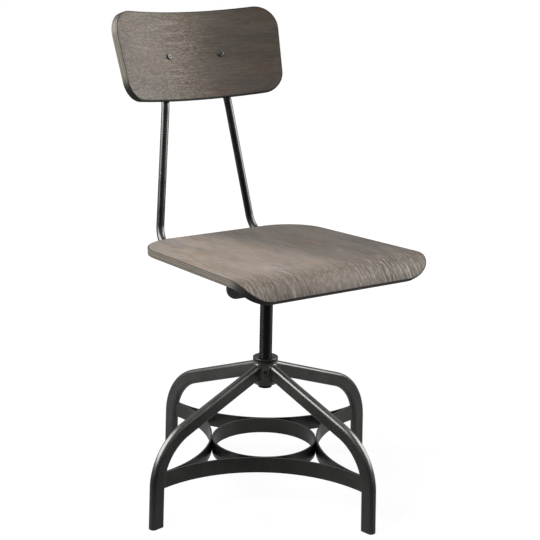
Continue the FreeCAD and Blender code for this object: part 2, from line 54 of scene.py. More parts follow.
class Nodes:
    """A node tree and short ways to add to it."""

    def __init__(self, owner):
        owner.use_nodes = True
        self.tree = owner.node_tree
        self.tree.nodes.clear()

    def node(self, kind, **settings):
        added = self.tree.nodes.new(kind)
        for key, value in settings.items():
            setattr(added, key, value)
        return added

    def feed(self, socket, value):
        """Link another node's output to a socket, or give it a plain value."""
        if isinstance(value, bpy.types.NodeSocket):
            self.tree.links.new(value, socket)
        else:
            socket.default_value = value

    def math(self, operation, *values):
        added = self.node("ShaderNodeMath", operation=operation)
        for socket, value in zip(added.inputs, values):
            self.feed(socket, value)
        return added.outputs[0]

    def times(self, first, second):
        return self.math("MULTIPLY", first, second)

    def blend(self, factor, first, second, mode="MIX"):
        added = self.node("ShaderNodeMix", data_type="RGBA", blend_type=mode)
        for place, value in zip(MIX_INPUTS, (factor, first, second)):
            self.feed(added.inputs[place], value)
        return added.outputs[MIX_RESULT]

    def tinted(self, factor, tone, colour):
        """A tone that is multiplied by a colour as far as the factor says."""
        return self.blend(factor, tone, self.blend(1.0, tone, colour, "MULTIPLY"))

    def noise(self, vector, scale, detail, roughness, distortion=0.0):
        added = self.node("ShaderNodeTexNoise")
        self.feed(added.inputs["Vector"], vector)
        added.inputs["Scale"].default_value = scale
        added.inputs["Detail"].default_value = detail
        added.inputs["Roughness"].default_value = roughness
        added.inputs["Distortion"].default_value = distortion
        return added.outputs[0]

    def stretched(self, vector, scale, shift, detail, roughness, distortion=0.0):
        """A noise on a flat map, with a scale and a shift for each of its two ways."""
        added = self.node("ShaderNodeMapping")
        self.feed(added.inputs["Vector"], vector)
        added.inputs["Scale"].default_value = (*scale, 1.0)
        added.inputs["Location"].default_value = (*shift, 0.0)
        return self.noise(added.outputs[0], 1.0, detail, roughness, distortion)

    def spread(self, value, low, high, to_low=0.0, to_high=1.0, smooth=True):
        """A value mapped from one range to another, and held at its ends."""
        added = self.node("ShaderNodeMapRange")
        if smooth:
            added.interpolation_type = "SMOOTHSTEP"
        self.feed(added.inputs[0], value)
        for socket, number in zip(list(added.inputs)[1:5], (low, high, to_low, to_high)):
            socket.default_value = number
        return added.outputs[0]

    def usual(self, value, to_low=0.0, to_high=1.0):
        """A noise mapped from its usual reach."""
        return self.spread(value, USUAL_LOW, USUAL_HIGH, to_low, to_high)

    def bump(self, height, strength, distance):
        added = self.node("ShaderNodeBump")
        added.inputs["Strength"].default_value = strength
        added.inputs["Distance"].default_value = distance
        self.feed(added.inputs["Height"], height)
        return added.outputs[0]

    def place(self):
        return self.node("ShaderNodeTexCoord").outputs["Object"]

    def uv(self):
        return self.node("ShaderNodeUVMap", uv_map="UVMap").outputs[0]

    def parts(self, vector):
        split = self.node("ShaderNodeSeparateXYZ")
        self.feed(split.inputs[0], vector)
        return split.outputs

    def dot(self, vector, direction):
        added = self.node("ShaderNodeVectorMath", operation="DOT_PRODUCT")
        self.feed(added.inputs[0], vector)
        added.inputs[1].default_value = direction
        return added.outputs["Value"]

    def emission(self, strength):
        added = self.node("ShaderNodeEmission")
        self.feed(added.inputs[1], strength)
        return added.outputs[0]


class Shader(Nodes):
    """A material with a principled surface."""

    def __init__(self, name):
        self.material = bpy.data.materials.new(name)
        super().__init__(self.material)
        self.surface = self.node("ShaderNodeBsdfPrincipled")
        output = self.node("ShaderNodeOutputMaterial")
        self.tree.links.new(self.surface.outputs[0], output.inputs["Surface"])

    def set(self, **values):
        for key, value in values.items():
            self.feed(self.surface.inputs[key.replace("_", " ")], value)


def rgb(red, green, blue):
    """A linear colour from the 0 to 255 values that it has on a screen."""
    return tuple(((c / 255 + 0.055) / 1.055) ** 2.4 for c in (red, green, blue)) + (1.0,)


# Steel, plastic and rubber

RUB_SCALE = 260.0
PEEL_SCALE = 90.0
PEEL_STRENGTH = 0.035
BUMP_DEPTH = 0.2 * MM
CLOUD_SCALE = 60.0
GRAIN_SCALE = 900.0
GRAIN_STRENGTH = 0.2


def steel(name, dark, light, roughness, metallic=0.9, specular=0.5, patch=14.0, tint=WHITE):
    """Lacquered dark steel: cloudy tone, rubbed patches and a fine orange peel."""
    s = Shader(name)
    place = s.place()
    clouds = s.noise(place, patch, 4.0, 0.6)
    rubs = s.noise(place, RUB_SCALE, 3.0, 0.6)
    tone = s.blend(s.usual(clouds), dark, light)
    tone = s.blend(s.spread(rubs, 0.55, 0.8, 0.0, 0.2), tone, light)
    gloss = s.math("ADD", s.usual(clouds, roughness - 0.04, roughness + 0.05),
                   s.usual(rubs, 0.0, 0.04))
    s.set(Base_Color=tone, Metallic=metallic, Roughness=gloss)
    s.set(Specular_IOR_Level=specular, Specular_Tint=tint)
    s.set(Normal=s.bump(s.noise(place, PEEL_SCALE, 2.0, 0.5), PEEL_STRENGTH, BUMP_DEPTH))
    return s.material


def plain_dark(name, colour, roughness):
    """Dark plastic, rubber or oxide with a fine grain and a lighter bloom."""
    s = Shader(name)
    place = s.place()
    clouds = s.noise(place, CLOUD_SCALE, 3.0, 0.6)
    lighter = tuple(min(1.0, c * 1.8 + 0.004) for c in colour[:3]) + (1.0,)
    s.set(Base_Color=s.blend(s.spread(clouds, 0.35, 0.7), colour, lighter))
    s.set(Roughness=s.usual(clouds, roughness - 0.08, roughness + 0.08))
    s.set(Normal=s.bump(s.noise(place, GRAIN_SCALE, 2.0, 0.5), GRAIN_STRENGTH, BUMP_DEPTH))
    return s.material


# Wood. The map of a board is in metres: across the grain, then along it

SWAY = 0.006
WARM = rgb(255, 214, 184)
COOL = rgb(208, 226, 244)
BRIGHT_STROKE = (1.5, 1.52, 1.56, 1.0)
DARK_STROKE = (0.5, 0.48, 0.45, 1.0)
DARK_FIBRE = (0.4, 0.37, 0.34, 1.0)


def grained(s):
    """The map with a slow sway across the grain, and the plain map's two parts."""
    uv = s.uv()
    across, along, _ = s.parts(uv)
    sway = s.stretched(uv, (9.0, 4.0), (0.0, 0.0), 3.0, 0.5)
    join = s.node("ShaderNodeCombineXYZ")
    s.feed(join.inputs[0], s.math("ADD", across, s.spread(sway, 0.0, 1.0, -SWAY, SWAY, False)))
    s.feed(join.inputs[1], along)
    return join.outputs[0], across, along


def wood_tone(s, grain, low, high, patches):
    """Weathered veneer from two close tones, with warm and cool patches and fine strokes."""
    drift = s.stretched(grain, (24.0, 5.0), (0.0, 0.0), 4.0, 0.6)
    strokes = s.stretched(grain, (330.0, 24.0), (3.1, 1.7), 5.0, 0.65)
    fibre = s.stretched(grain, (1200.0, 60.0), (7.3, 2.9), 3.0, 0.6)
    warm = s.stretched(grain, (30.0, 7.0), (4.0, 8.3), 3.0, 0.55)
    cool = s.stretched(grain, (20.0, 7.0), (11.0, 3.0), 3.0, 0.55)
    tone = s.blend(s.usual(drift), low, high)
    tone = s.tinted(s.spread(warm, 0.52, 0.7, 0.0, patches), tone, WARM)
    tone = s.tinted(s.spread(cool, 0.52, 0.7, 0.0, patches), tone, COOL)
    tone = s.tinted(s.spread(strokes, 0.5, 0.72, 0.0, 0.5), tone, BRIGHT_STROKE)
    tone = s.tinted(s.spread(strokes, 0.5, 0.3, 0.0, 0.5), tone, DARK_STROKE)
    tone = s.tinted(s.spread(fibre, 0.44, 0.24, 0.0, 0.5), tone, DARK_FIBRE)
    return tone, strokes, fibre


ROLL_STREAKS = 0.34
FAR_SIDE = (1.0, 0.25, 0.0)
LEFT_SHADE = (0.58, 0.57, 0.56, 1.0)


def seat_wood_material(name):
    """The seat's veneer, with light and dark streaks over the rolled front."""
    s = Shader(name)
    grain, across, along = grained(s)
    # Painted shade: darker towards +X
    far_side_shade = s.spread(s.dot(s.place(), FAR_SIDE), -0.08, 0.07)
    low = s.blend(far_side_shade, rgb(129, 118, 108), rgb(88, 82, 75))
    high = s.blend(far_side_shade, rgb(147, 136, 125), rgb(106, 99, 92))
    tone, strokes, fibre = wood_tone(s, grain, low, high, 0.45)
    # Crackle over the roll; its light flecks are partly the finish's own crackle and partly
    # painted glints
    roll = s.spread(along, ROLL_STREAKS, ROLL_STREAKS + 0.06)
    crackle = s.stretched(grain, (420.0, 110.0), (1.0, 4.0), 3.0, 0.6, 0.8)
    tone = s.blend(s.times(roll, 0.5), tone, rgb(85, 77, 68))
    crackle_glint = s.spread(crackle, 0.5, 0.64, 0.0, 0.5)
    dark_crackle = s.spread(crackle, 0.48, 0.34, 0.0, 0.5)
    tone = s.blend(s.times(crackle_glint, roll), tone, rgb(158, 147, 133))
    tone = s.blend(s.times(dark_crackle, roll), tone, rgb(66, 57, 50))
    # Streaks over the roll, in zones and stronger to the sides
    zones = s.stretched(grain, (13.0, 3.0), (2.0, 5.0), 2.0, 0.5)
    sides = s.spread(s.math("ABSOLUTE", across), 0.03, 0.11, 0.3, 1.0)
    strength = s.times(s.times(roll, sides), s.spread(zones, 0.36, 0.52, 0.35, 1.0))
    lines = s.stretched(grain, (230.0, 10.0), (5.0, 5.0), 3.0, 0.65)
    pale = s.times(s.spread(lines, 0.53, 0.64, 0.0, 0.7), strength)
    deep = s.times(s.spread(lines, 0.46, 0.34, 0.0, 0.8), strength)
    tone = s.blend(pale, tone, rgb(184, 171, 155))
    tone = s.blend(deep, tone, rgb(50, 43, 38))
    # Darker low on the roll, towards -X
    shade = s.times(s.spread(across, 0.03, -0.14), s.spread(along, 0.37, 0.44))
    tone = s.tinted(shade, tone, LEFT_SHADE)
    height = s.math("ADD", s.times(fibre, 0.5), s.times(s.times(lines, roll), 1.4))
    s.set(Base_Color=tone, Roughness=s.spread(strokes, 0.25, 0.75, 0.62, 0.48))
    s.set(Normal=s.bump(height, 0.35, 0.5 * MM), Specular_IOR_Level=0.15)
    return s.material


def back_wood_material(name):
    """The back's veneer, with long wavy lines, painted shade towards +X and painted crackled
    glints towards -X.
    """
    s = Shader(name)
    grain, _, along = grained(s)
    # Painted shade: darker towards +X
    shade_to_plus_x = s.spread(along, -0.12, 0.1)
    low = s.blend(shade_to_plus_x, rgb(77, 68, 59), rgb(67, 60, 54))
    high = s.blend(shade_to_plus_x, rgb(92, 82, 71), rgb(80, 73, 66))
    tone, strokes, fibre = wood_tone(s, grain, low, high, 0.55)
    # Painted glints: the crackle and the pale waves, painted in mostly over the half towards -X,
    # where the lamps reflect
    glint_half = s.spread(along, 0.05, -0.03, 0.12, 1.0)
    crackle = s.stretched(grain, (330.0, 120.0), (6.0, 2.0), 3.0, 0.65, 0.7)
    waves = s.stretched(grain, (240.0, 13.0), (1.0, 7.0), 3.0, 0.55, 0.4)
    crackle_glint = s.spread(crackle, 0.48, 0.62, 0.0, 0.5)
    dark_crackle = s.spread(crackle, 0.5, 0.36, 0.0, 0.55)
    wave_glint = s.spread(waves, 0.58, 0.67, 0.0, 0.4)
    tone = s.blend(s.times(crackle_glint, glint_half), tone, rgb(134, 121, 103))
    tone = s.blend(s.times(dark_crackle, glint_half), tone, rgb(60, 52, 44))
    tone = s.blend(s.times(wave_glint, glint_half), tone, rgb(146, 132, 113))
    tone = s.blend(s.spread(waves, 0.42, 0.32, 0.0, 0.4), tone, rgb(54, 47, 40))
    height = s.math("ADD", s.times(fibre, 0.4), s.times(crackle, 1.6))
    s.set(Base_Color=tone, Roughness=s.spread(strokes, 0.25, 0.75, 0.5, 0.4))
    s.set(Normal=s.bump(height, 0.35, 0.6 * MM), Specular_IOR_Level=0.12)
    return s.material


PLY_LAYER = 2.8 * MM
PLY_WOBBLE = 0.3 * MM
UPPER_RIM = (1.7 * MM, 0.8 * MM)
LOWER_RIM = (12.6 * MM, 13.4 * MM)


def ply_edge(name, direction, ramps):
    """The cut edge of the ply: thin layers between rims darkened as painted shade, and near-black
    past each ramp's end: painted shade where the edge turns from the light, the edge's own dark
    colour along the back's top.

    The map is length along the edge and depth, in metres. A ramp runs along the direction.
    """
    s = Shader(name)
    uv = s.uv()
    wobble = s.stretched(uv, (40.0, 300.0), (0.0, 0.0), 3.0, 0.6)
    depth = s.math("ADD", s.parts(uv)[1],
                   s.spread(wobble, 0.0, 1.0, -PLY_WOBBLE, PLY_WOBBLE, False))
    layers = s.math("DIVIDE", depth, PLY_LAYER)
    cycle = s.math("FRACT", layers)
    glue = s.math("ADD", s.spread(cycle, 0.14, 0.0), s.spread(cycle, 0.86, 1.0))
    other = s.math("MODULO", s.math("FLOOR", layers), 2.0)
    grain = s.stretched(uv, (70.0, 1100.0), (2.0, 6.0), 4.0, 0.7)
    smudge = s.stretched(uv, (25.0, 90.0), (9.0, 1.0), 3.0, 0.6)
    tone = s.blend(other, rgb(99, 93, 83), rgb(79, 73, 65))
    tone = s.blend(s.spread(smudge, 0.5, 0.72, 0.0, 0.6), tone, rgb(80, 71, 62))
    tone = s.blend(s.spread(grain, 0.48, 0.7, 0.0, 0.7), tone, rgb(70, 62, 55))
    tone = s.blend(s.times(glue, 0.35), tone, rgb(60, 53, 47))
    # Painted shade on the rounded rims at the top and bottom of the edge
    rim = s.math("ADD", s.spread(depth, *UPPER_RIM), s.spread(depth, *LOWER_RIM))
    tone = s.blend(s.times(rim, 0.85), tone, rgb(46, 40, 35))
    # Near-black past each ramp's end: painted shade at the seat's front and the back's lower
    # part, the edge's own dark colour along the back's top
    reach = s.dot(s.place(), direction)
    for first, last in ramps:
        tone = s.blend(s.spread(reach, first, last, 0.0, 0.93), tone, rgb(20, 19, 17))
    s.set(Base_Color=tone, Roughness=s.usual(grain, 0.5, 0.68))
    s.set(Normal=s.bump(grain, 0.3, 0.3 * MM), Specular_IOR_Level=0.18)
    return s.material


# Materials on the carried-over solids

PANEL_LEAN = math.radians(20.5)
PANEL_Y = 273.6
PANEL_Z = 818.6
panel_up = (0.0, math.sin(PANEL_LEAN), math.cos(PANEL_LEAN))
panel_middle = (PANEL_Y * panel_up[1] + PANEL_Z * panel_up[2]) * MM
FORWARD = (0.0, -1.0, 0.0)
# Where the ply edge turns near-black: painted shade along the seat's front, and on the back
# painted shade low down and the edge's own dark colour at the top
SEAT_EDGE_SHADE = ((0.185, 0.215),)
BACK_EDGE_SHADE_AND_DARK_TOP = ((panel_middle - 0.035, panel_middle - 0.065),
              (panel_middle + 0.06, panel_middle + 0.082))

base_steel = steel("base_steel", rgb(62, 62, 61), rgb(72, 72, 70), 0.28)
thread_steel = steel("thread_steel", rgb(24, 24, 24), rgb(31, 31, 31), 0.3, 0.6, 0.1, 30.0,
                     rgb(110, 110, 110))
frame_steel = steel("frame_steel", rgb(36, 36, 36), rgb(46, 46, 45), 0.4, 0.0, 0.4)
tube_steel = steel("tube_steel", rgb(54, 54, 53), rgb(64, 64, 62), 0.22, 1.0, patch=22.0)
fastener_black = plain_dark("fastener_black", rgb(13, 13, 13), 0.36)
cap_plastic = plain_dark("cap_plastic", rgb(20, 20, 20), 0.5)
glide_rubber = plain_dark("glide_rubber", rgb(9, 9, 9), 0.5)
weld_steel = steel("weld_steel", rgb(66, 66, 64), rgb(88, 87, 84), 0.28, patch=90.0)
# Painted sheen: the hub's steel is a lighter copy of the base's, for the reflections on its round
# side
hub_steel_with_painted_sheen = steel("hub_steel_with_painted_sheen", rgb(80, 80, 79), rgb(106, 105, 102), 0.3, patch=70.0)
# Painted shade: the cap nut's steel is a darker copy of the base's, for the shade on its side
# under the rim
cap_steel_painted_shade = steel("cap_steel_painted_shade", rgb(44, 44, 42), rgb(60, 58, 54), 0.28, patch=90.0)
seat_wood = seat_wood_material("seat_ply")
back_wood = back_wood_material("back_ply")
seat_edge = ply_edge("seat_ply_edge", FORWARD, SEAT_EDGE_SHADE)
back_edge = ply_edge("back_ply_edge", panel_up, BACK_EDGE_SHADE_AND_DARK_TOP)

by_slot = {
    "base_steel": base_steel, "thread_steel": thread_steel, "frame_steel": frame_steel,
    "tube_steel": tube_steel, "fastener_black": fastener_black, "cap_plastic": cap_plastic,
    "glide_rubber": glide_rubber, "seat_ply": seat_edge, "back_ply": back_edge,
}
by_node = {"hub": hub_steel_with_painted_sheen, "cap_nut": cap_steel_painted_shade}
for part in frame["record"]["subparts"]:
    node = frame["nodes"][part["node"]]
    node.data.materials.clear()
    node.data.materials.append(by_node.get(part["node"], by_slot[part["material_slot"]]))

# Mesh helpers

PLY = 14.0
BOARD_THICK = PLY * MM
EDGE_ROUND = 1.0 * MM
EDGE_STEPS = 4
RIM_STRIP = 1.2 * MM
GRID_STEP = 8.0 * MM
OUTLINE_GAP = 7.0
ON_SURFACE, ON_EDGE = 0, 1  # a board's two materials
INSIDE_ONLY = 1  # the triangulation's kind of output
MERGE_GAP = 1e-7


def make(name, points, faces, materials, body, uvs=None, marks=None, replaced=()):
    """A smooth mesh object from points in metres.

    uvs go face by face, and marks give each face's place in the materials.
    """
    mesh = bpy.data.meshes.new(name)
    mesh.from_pydata([tuple(p) for p in points], [], faces)
    if uvs:
        layer = mesh.uv_layers.new(name="UVMap")
        flat = [pair for face in uvs for pair in face]
        for loop, pair in zip(layer.data, flat):
            loop.uv = pair
    for material in materials:
        mesh.materials.append(material)
    if marks:
        for polygon, place in zip(mesh.polygons, marks):
            polygon.material_index = place
    for polygon in mesh.polygons:
        polygon.use_smooth = True
    mesh.update()
    piece = bpy.data.objects.new(name, mesh)
    bpy.context.scene.collection.objects.link(piece)
    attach(piece, body)
    if replaced:
        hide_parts(*replaced)
    return piece


def none_at(y):
    """A lean of nothing at every y."""
    return 0.0


def span(a, b):
    """The distance between two flat points."""
    return math.hypot(b[0] - a[0], b[1] - a[1])


def inset(outline, distance, further=none_at):
    """The outline of (x, y) points moved inwards, taken anticlockwise, and further by each y."""
    moved = []
    count = len(outline)
    for i, (x, y) in enumerate(outline):
        bx, by = outline[i - 1]
        ax, ay = outline[(i + 1) % count]
        dx, dy = ax - bx, ay - by
        size = math.hypot(dx, dy)
        reach = distance + further(y)
        moved.append((x - dy / size * reach, y + dx / size * reach))
    return moved


def inside(point, outline):
    """Whether a flat point lies in an outline."""
    x, y = point
    within = False
    count = len(outline)
    for i in range(count):
        x0, y0 = outline[i]
        x1, y1 = outline[(i + 1) % count]
        if (y0 > y) != (y1 > y) and x < (x1 - x0) * (y - y0) / (y1 - y0) + x0:
            within = not within
    return within


def resample(outline, gap):
    """Divide an outline's long runs."""
    fine = []
    count = len(outline)
    for i in range(count):
        a, b = outline[i], outline[(i + 1) % count]
        pieces = max(1, round(span(a, b) / gap))
        for k in range(pieces):
            fine.append((a[0] + (b[0] - a[0]) * k / pieces, a[1] + (b[1] - a[1]) * k / pieces))
    return fine


def rounded(corners, radii, steps=12):
    """A polygon with round corners, from its sharp corners and their radii."""
    count = len(corners)
    rounded_points = []
    for i in range(count):
        here = Vector(corners[i])
        before = (Vector(corners[i - 1]) - here).normalized()
        after = (Vector(corners[(i + 1) % count]) - here).normalized()
        half = before.angle(after) / 2
        reach = radii[i] / math.tan(half)
        centre = here + (before + after).normalized() * (radii[i] / math.sin(half))
        first = here + before * reach - centre
        last = here + after * reach - centre
        turn = first.angle_signed(last)
        for k in range(steps + 1):
            angle = -turn * k / steps
            spot = Matrix.Rotation(angle, 2) @ first + centre
            rounded_points.append((spot.x, spot.y))
    return rounded_points


def inner_grid(outline, border, step):
    """Grid points over an outline's reach that lie well inside the border."""
    xs = [x for x, y in outline]
    ys = [y for x, y in outline]
    safe = inset(border, step * 0.5)
    kept = []
    y = min(ys) + step
    while y < max(ys) - step / 2:
        x = min(xs) + step
        while x < max(xs) - step / 2:
            if inside((x, y), safe):
                kept.append((x, y))
            x += step
        y += step
    return kept


def board(name, outline, bend, surface, edge, replaced, swap=False, lean=none_at):
    """A bent ply board of the seat's body from its flat outline in metres, with rounded edges.

    bend takes flat x, y and depth to a place. lean gives how far the upper face stops short of
    the outline at a flat y, beyond its rounding. swap is for a grain that runs along flat x.
    """
    levels = [(EDGE_ROUND + RIM_STRIP, 0.0)]
    for i in range(EDGE_STEPS + 1):
        angle = math.pi / 2 * i / EDGE_STEPS
        levels.append((EDGE_ROUND * (1 - math.sin(angle)), EDGE_ROUND * (1 - math.cos(angle))))
    rings = levels + [(0.0, BOARD_THICK * 0.5)]
    rings += [(gone, BOARD_THICK - depth) for gone, depth in reversed(levels)]
    count = len(outline)
    length = [0.0]
    for i in range(count):
        length.append(length[-1] + span(outline[i], outline[(i + 1) % count]))
    points, flat = [], []
    for gone, depth in rings:
        share = 1 - depth / BOARD_THICK
        for x, y in inset(outline, gone, lambda y: lean(y) * share):
            flat.append((x, y))
            points.append(bend(x, y, depth))

    def mapped(ring):
        return [(flat[k][1], flat[k][0]) if swap else flat[k] for k in ring]

    faces, uvs, marks = [], [], []
    last_strip = len(rings) - 2
    for r in range(len(rings) - 1):
        d0, d1 = rings[r][1], rings[r + 1][1]
        for i in range(count):
            j = (i + 1) % count
            quad = (r * count + i, (r + 1) * count + i, (r + 1) * count + j, r * count + j)
            faces.append(quad)
            if r == last_strip:
                marks.append(ON_SURFACE)
                uvs.append(mapped(quad))
            else:
                marks.append(ON_EDGE)
                here, there = length[i], length[i + 1]
                uvs.append([(here, d0), (here, d1), (there, d1), (there, d0)])
    for top in (True, False):
        start = 0 if top else (len(rings) - 1) * count
        depth = 0.0 if top else BOARD_THICK
        border = flat[start:start + count]
        seeds = [Vector(p) for p in border + inner_grid(outline, border, GRID_STEP)]
        edges = [(i, (i + 1) % count) for i in range(count)]
        result = geometry.delaunay_2d_cdt(seeds, edges, [], INSIDE_ONLY, MERGE_GAP)
        spots, triangles, sources = result[0], result[2], result[3]
        places = {}
        for k, origins in enumerate(sources):
            if origins and origins[0] < count:
                places[k] = start + origins[0]
            else:
                places[k] = len(points)
                x, y = spots[k]
                flat.append((x, y))
                points.append(bend(x, y, depth))
        for triangle in triangles:
            ring = [places[k] for k in triangle]
            if not top:
                ring.reverse()
            faces.append(tuple(ring))
            marks.append(ON_SURFACE)
            uvs.append(mapped(ring))
    return make(name, points, faces, [surface, edge], "seat", uvs, marks, replaced)


def in_metres(bend):
    """A bend that takes flat metres."""
    return lambda x, y, depth: bend(x / MM, y / MM, depth / MM)


# Seat board

RAKE = math.radians(2.81)
SEAT_TOP = 488.0
BACK_Y = 178.5
ROLL_Y = -195.7
ROLL_RADIUS = 49.4
ROLL_ANGLE = math.radians(72.0)
ROLL_TAIL = 5.6
HALF_BACK = 192.5
HALF_ROLL = 202.8
BACK_CORNER = 83.0
FRONT_CORNER = 56.0
CUT_ANGLE = math.radians(64.0)
CORNER_STEPS = 14
LIP_START = 15.0
LIP_RUN = 40.0
LIP_LEAN = 2.8
AHEAD = Vector((0, -math.cos(RAKE), math.sin(RAKE)))
ABOVE = Vector((0, math.sin(RAKE), math.cos(RAKE)))
FLAT_LENGTH = (BACK_Y - ROLL_Y) / math.cos(RAKE)


def bend_seat(x, s, depth):
    """A place in metres from millimetres: x across, s forward along the bent sheet, and depth."""
    top = Vector((0, BACK_Y, SEAT_TOP - math.tan(RAKE) * BACK_Y))
    if s <= FLAT_LENGTH:
        spot = top + AHEAD * s - ABOVE * depth
    else:
        centre = top + AHEAD * FLAT_LENGTH - ABOVE * ROLL_RADIUS
        angle = min((s - FLAT_LENGTH) / ROLL_RADIUS, ROLL_ANGLE)
        rest = s - FLAT_LENGTH - angle * ROLL_RADIUS
        normal = ABOVE * math.cos(angle) + AHEAD * math.sin(angle)
        along = AHEAD * math.cos(angle) - ABOVE * math.sin(angle)
        spot = centre + normal * (ROLL_RADIUS - depth) + along * rest
    return (spot + Vector((x, 0, 0))) * MM


def seat_half(y):
    """Half the seat's width at a y, which grows to the front."""
    share = (BACK_Y - y) / (BACK_Y - ROLL_Y)
    return HALF_BACK + (HALF_ROLL - HALF_BACK) * share


def seat_outline():
    """The flat outline of the seat's sheet, anticlockwise as seen from above, front up."""
    tilt = ROLL_ANGLE - CUT_ANGLE
    reach = ROLL_RADIUS * math.sin(tilt)
    front = reach + ROLL_TAIL * math.cos(tilt)
    corner_side = seat_half(BACK_Y)
    right = []
    for i in range(CORNER_STEPS + 1):
        angle = -math.pi / 2 + math.pi / 2 * i / CORNER_STEPS
        x = corner_side - BACK_CORNER + BACK_CORNER * math.cos(angle)
        s = BACK_CORNER + BACK_CORNER * math.sin(angle)
        right.append((x + (seat_half(BACK_Y - s) - corner_side) * (i / CORNER_STEPS), s))
    half = seat_half(ROLL_Y - ROLL_RADIUS)
    for i in range(CORNER_STEPS * 2 + 1):
        angle = math.pi / 2 * i / (CORNER_STEPS * 2)
        x = half - FRONT_CORNER + FRONT_CORNER * math.cos(angle)
        along = front - FRONT_CORNER + FRONT_CORNER * math.sin(angle)
        if along <= reach:
            rolled = CUT_ANGLE + math.asin(max(-1.0, along / ROLL_RADIUS))
            s = FLAT_LENGTH + ROLL_RADIUS * rolled
        else:
            s = FLAT_LENGTH + ROLL_RADIUS * ROLL_ANGLE + (along - reach) / math.cos(tilt)
        right.append((x, s))
    left = [(-x, s) for x, s in reversed(right)]
    return resample(right + left, OUTLINE_GAP)


def seat_lean(y):
    """How far the lip's outer face stops short of its inner face, in metres."""
    share = min(1.0, max(0.0, (y / MM - FLAT_LENGTH - LIP_START) / LIP_RUN))
    return LIP_LEAN * MM * share


seat_flat = [(x * MM, s * MM) for x, s in seat_outline()]
seat_board = board("seat_board", seat_flat, in_metres(bend_seat), seat_wood, seat_edge,
                   ("seat_panel",), lean=seat_lean)
# The legs' tops would mirror the seat's dark underside as a band that the photo hasn't
seat_board.visible_glossy = False

# Back board

CURVE = 423.0
TALL = 175.8
TOP_ARC = 193.0
BOTTOM_ARC = 178.8
TOP_CORNER = 47.0
BOTTOM_CORNER = 40.0
BEYOND_MIDDLE = -150.0
SHARP = 0.001
lean_turn = Matrix.Rotation(-PANEL_LEAN, 4, "X")


def bend_back(arc, rise, depth):
    """A place in metres from millimetres: arc from the middle, rise, and depth from the front."""
    angle = arc / CURVE
    radius = CURVE + depth
    local = Vector((radius * math.sin(angle), radius * math.cos(angle) - CURVE, rise))
    return (lean_turn @ local + Vector((0, PANEL_Y, PANEL_Z))) * MM


def back_outline():
    """The back's flat outline, with the slanted ends and round corners cut square to them."""
    cut = (TOP_ARC + BOTTOM_ARC) / 2
    half = TALL / 2
    top, bottom = TOP_ARC - cut, BOTTOM_ARC - cut
    raw = rounded(
        [(BEYOND_MIDDLE, -half), (bottom, -half), (top, half), (BEYOND_MIDDLE, half)],
        [SHARP, BOTTOM_CORNER, TOP_CORNER, SHARP],
    )
    end = [(x, z) for x, z in raw if x > BEYOND_MIDDLE + 1]
    end = [(cut + CURVE * math.asin(x / CURVE), z) for x, z in end]
    return resample(end + [(-x, z) for x, z in reversed(end)], OUTLINE_GAP)


back_flat = [(x * MM, z * MM) for x, z in back_outline()]
board("back_board", back_flat, in_metres(bend_back), back_wood, back_edge,
      ("back_panel",), swap=True)

# Screw post

POST_LOW = 213.0
POST_HIGH = 449.0
POST_SIDES = 36
THREAD_HIGH = 422.0
PITCH = 3.0
ROOT_RADIUS = 11.55
POST_RADIUS = 12.5
THREAD_SHAPE = ((ROOT_RADIUS, 0.0), (POST_RADIUS, 0.36), (POST_RADIUS, 0.6), (ROOT_RADIUS, 0.96))
LEAD_IN = 2.0
LEAD_SHARE = 0.1
CORE = (
    (0.0, POST_LOW), (11.0, POST_LOW), (11.4, POST_LOW + 1), (11.5, THREAD_HIGH - 6),
    (POST_RADIUS, THREAD_HIGH - 1), (POST_RADIUS, POST_HIGH), (0.0, POST_HIGH),
)


def screw_post():
    """The post: a running thread of a set number of sides, and the core that closes it."""
    per_turn = len(THREAD_SHAPE)
    levels = int((THREAD_HIGH - POST_LOW) / PITCH) * per_turn
    points = []
    for row in range(levels + 1):
        turn, part = divmod(row, per_turn)
        radius, share = THREAD_SHAPE[part]
        for side in range(POST_SIDES):
            angle = 2 * math.pi * side / POST_SIDES
            z = POST_LOW + (turn + share + side / POST_SIDES) * PITCH
            edge = min(1.0, max(0.0, (z - POST_LOW) / LEAD_IN))
            narrowed = 1 - LEAD_SHARE + LEAD_SHARE * edge
            points.append((radius * math.cos(angle) * narrowed,
                           radius * math.sin(angle) * narrowed, max(z, POST_LOW)))
    faces = []
    for row in range(levels):
        for side in range(POST_SIDES):
            following = (side + 1) % POST_SIDES
            up = row
            if following == 0:
                if row + per_turn + 1 > levels:
                    continue
                up = row + per_turn
            faces.append((
                row * POST_SIDES + side, up * POST_SIDES + following,
                (up + 1) * POST_SIDES + following, (row + 1) * POST_SIDES + side,
            ))
    start = len(points)
    for radius, z in CORE:
        for side in range(POST_SIDES):
            angle = 2 * math.pi * side / POST_SIDES
            points.append((radius * math.cos(angle), radius * math.sin(angle), z))
    for row in range(len(CORE) - 1):
        low = start + row * POST_SIDES
        high = low + POST_SIDES
        for side in range(POST_SIDES):
            following = (side + 1) % POST_SIDES
            faces.append((low + side, low + following, high + following, high + side))
    points = [Vector(p) * MM for p in points]
    make("post_thread", points, faces, [thread_steel], "seat",
         replaced=("screw_post",))


screw_post()

# Welds

BEAD_SIDES = 8
OFF_AXIS = Vector((0.31, 0.22, 0.92))  # no weld runs this way
LUMP_SCALE = 0.35
LUMP = 0.16
RIPPLE = 0.12
END_SHARE = 0.35
HUB_BEAD = 2.4
HUB_BEAD_GAP = 1.6
HUB_BEAD_OUT = 0.2
STRAP_BEAD = 1.3


